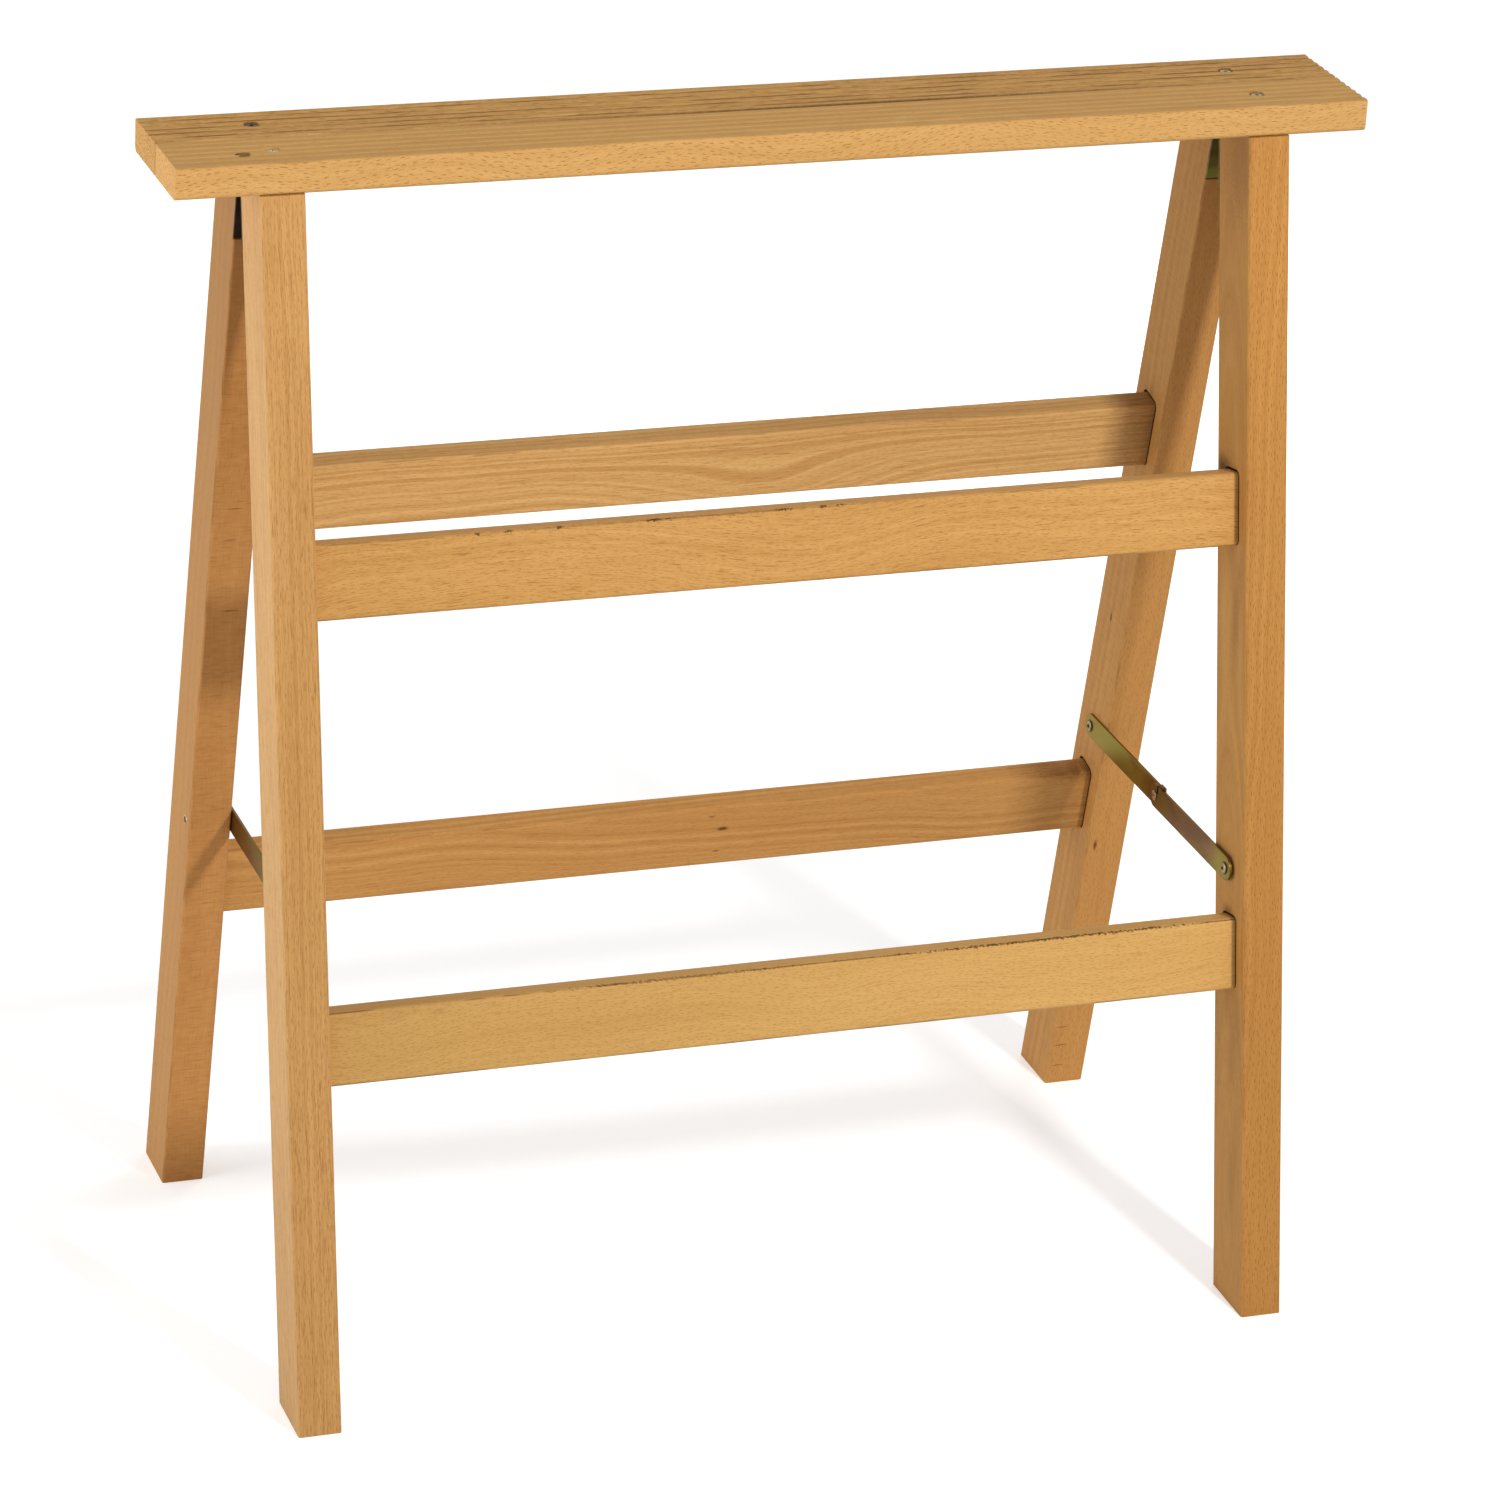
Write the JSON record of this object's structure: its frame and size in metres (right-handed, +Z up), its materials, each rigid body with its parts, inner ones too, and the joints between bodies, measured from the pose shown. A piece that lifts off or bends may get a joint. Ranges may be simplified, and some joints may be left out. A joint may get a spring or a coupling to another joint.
{
  "type": "folding wooden trestle",
  "caption": "Folding beech work trestle: splayed leg frames with housed rails, hinged under a split grooved top and held open by locking flat-bar stays.",
  "frame": {"origin": "on the floor, under the middle of the top", "axes": "+X along the beam, -Y towards the front frame, +Z up"},
  "size_m": [0.745, 0.3822, 0.757],
  "materials": {
    "beech": "clear satin varnish",
    "passivated_steel": "yellow passivated zinc",
    "screw_steel": "yellow passivated zinc"
  },
  "bodies": {
    "front_frame": {"front_top_board": "beech", "front_left_leg": "beech", "front_right_leg": "beech", "front_upper_rail": "beech", "front_lower_rail": "beech", "left_hinge_front_leaf": "passivated_steel", "right_hinge_front_leaf": "passivated_steel", "left_hinge_pin": "passivated_steel", "right_hinge_pin": "passivated_steel", "front_board_screws": "screw_steel", "front_hinge_screws": "screw_steel", "front_stay_screws": "screw_steel", "stay_spacers": "passivated_steel"},
    "rear_frame": {"rear_top_board": "beech", "rear_left_leg": "beech", "rear_right_leg": "beech", "rear_upper_rail": "beech", "rear_lower_rail": "beech", "left_hinge_rear_leaf": "passivated_steel", "right_hinge_rear_leaf": "passivated_steel", "rear_board_screws": "screw_steel", "rear_hinge_screws": "screw_steel", "rear_stay_screws": "screw_steel"},
    "left_stay_front": {"left_stay_front_bar": "passivated_steel", "left_knee_domed_rivet": "passivated_steel"},
    "right_stay_front": {"right_stay_front_bar": "passivated_steel", "right_knee_domed_rivet": "passivated_steel"},
    "left_stay_rear": {"left_stay_rear_bar": "passivated_steel", "left_knee_flush_rivet": "passivated_steel"},
    "right_stay_rear": {"right_stay_rear_bar": "passivated_steel", "right_knee_flush_rivet": "passivated_steel"}
  },
  "joints": [
    {"name": "frame_fold", "type": "hinge", "parent": "front_frame", "child": "rear_frame", "pos_m": [0, 0, 0.7325], "axis": [-1, 0, 0], "range_deg": [0, 22]},
    {"name": "left_front_bar_pivot", "type": "hinge", "parent": "front_frame", "child": "left_stay_front", "pos_m": [-0.29285, -0.11375, 0.27999], "axis": [1, 0, 0], "range_deg": [0, 66.14]},
    {"name": "right_front_bar_pivot", "type": "hinge", "parent": "front_frame", "child": "right_stay_front", "pos_m": [0.29285, -0.11375, 0.27999], "axis": [1, 0, 0], "range_deg": [0, 66.14]},
    {"name": "left_rear_bar_pivot", "type": "hinge", "parent": "rear_frame", "child": "left_stay_rear", "pos_m": [-0.29455, 0.11375, 0.27999], "axis": [-1, 0, 0], "range_deg": [0, 66.14]},
    {"name": "right_rear_bar_pivot", "type": "hinge", "parent": "rear_frame", "child": "right_stay_rear", "pos_m": [0.29455, 0.11375, 0.27999], "axis": [-1, 0, 0], "range_deg": [0, 66.14]}
  ],
  "couplings": [
    {"joint": "left_front_bar_pivot", "follows": "frame_fold", "ratio": 3.0063},
    {"joint": "right_front_bar_pivot", "follows": "frame_fold", "ratio": 3.0063},
    {"joint": "left_rear_bar_pivot", "follows": "frame_fold", "ratio": 3.0063},
    {"joint": "right_rear_bar_pivot", "follows": "frame_fold", "ratio": 3.0063}
  ]
}
